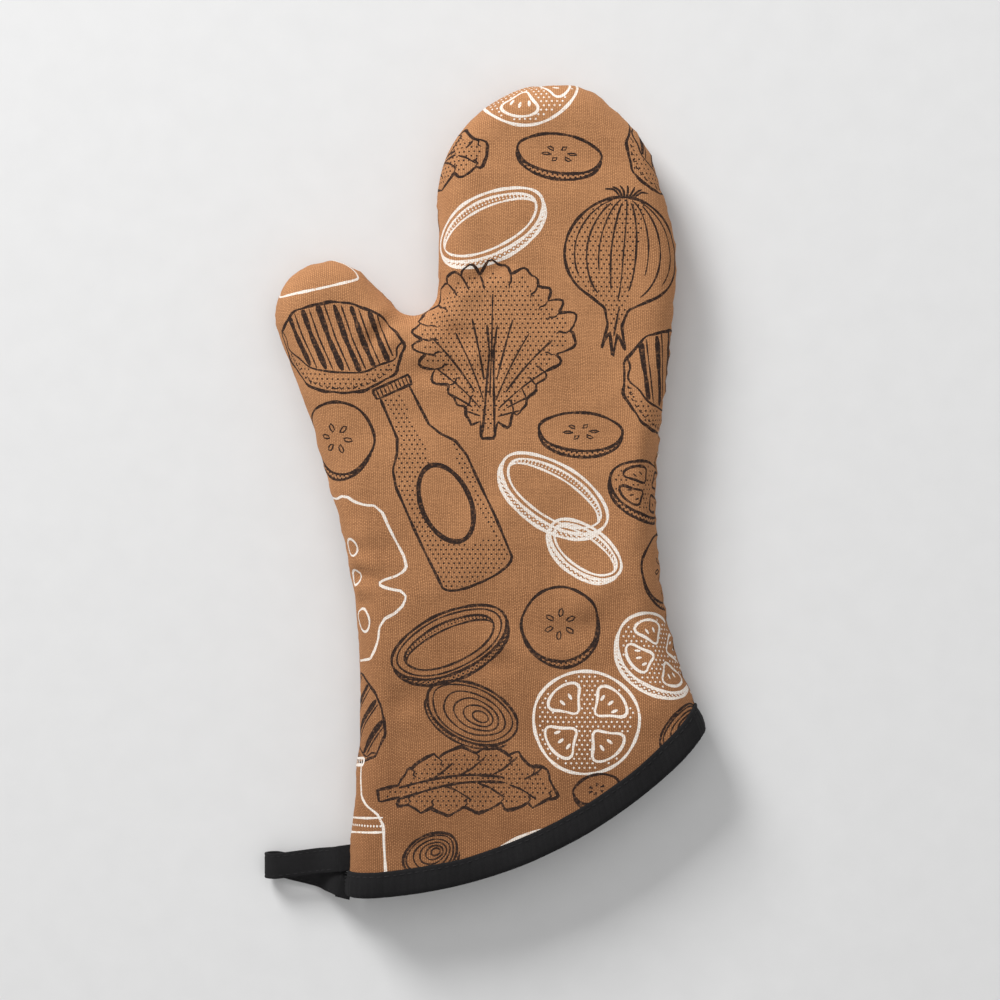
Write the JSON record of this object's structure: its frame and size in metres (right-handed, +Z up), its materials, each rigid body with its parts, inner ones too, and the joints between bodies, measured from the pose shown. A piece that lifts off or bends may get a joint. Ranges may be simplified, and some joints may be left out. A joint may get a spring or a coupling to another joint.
{
  "type": "oven mitt",
  "caption": "Padded oven mitt with a separate thumb, a curved bound cuff and a tape loop to hang it by; it protects a hand from hot cookware.",
  "frame": {"origin": "middle of the footprint on the surface the mitt lies on, at the centre of its bounding box in plan", "axes": "+Z up out of the palm panel, +Y from the cuff to the fingertips, thumb on the -X side"},
  "size_m": [0.182, 0.332, 0.028],
  "materials": {
    "canvas": "matte twill canvas, tan, printed with dark brown and cream line drawings",
    "batting": "needled cotton batting, matte",
    "lining": "plain-woven cotton lining, matte",
    "seam_thread": "twisted polyester sewing thread, tan",
    "binding": "black cotton bias tape, matte",
    "black_thread": "black twisted sewing thread"
  },
  "bodies": {
    "palm": {"outer_front_palm": "canvas", "outer_back_palm": "canvas", "batting_front_palm": "batting", "batting_back_palm": "batting", "lining_front_palm": "lining", "lining_back_palm": "lining", "seam_thread_palm": "seam_thread", "cuff_binding": "binding", "binding_topstitch_front": "black_thread", "binding_topstitch_back": "black_thread", "loop_bartack": "black_thread"},
    "fingers": {"outer_front_fingers": "canvas", "outer_back_fingers": "canvas", "batting_front_fingers": "batting", "batting_back_fingers": "batting", "lining_front_fingers": "lining", "lining_back_fingers": "lining", "seam_thread_fingers": "seam_thread"},
    "thumb": {"outer_front_thumb": "canvas", "outer_back_thumb": "canvas", "batting_front_thumb": "batting", "batting_back_thumb": "batting", "lining_front_thumb": "lining", "lining_back_thumb": "lining", "seam_thread_thumb": "seam_thread"},
    "hanging_loop": {"hanging_loop": "binding"}
  },
  "joints": [
    {"name": "finger_fold", "type": "hinge", "parent": "palm", "child": "fingers", "pos_m": [0.02897, 0.09742, 0.028], "axis": [1, 0, 0], "range_deg": [0, 90]},
    {"name": "thumb_fold", "type": "hinge", "parent": "palm", "child": "thumb", "pos_m": [-0.06103, 0.06492, 0.028], "axis": [0.7986, 0.6018, 0], "range_deg": [0, 80]},
    {"name": "loop_swing", "type": "hinge", "parent": "palm", "child": "hanging_loop", "pos_m": [-0.05964, -0.15558, 0.014], "axis": [0, 1, 0], "range_deg": [0, 120]}
  ]
}
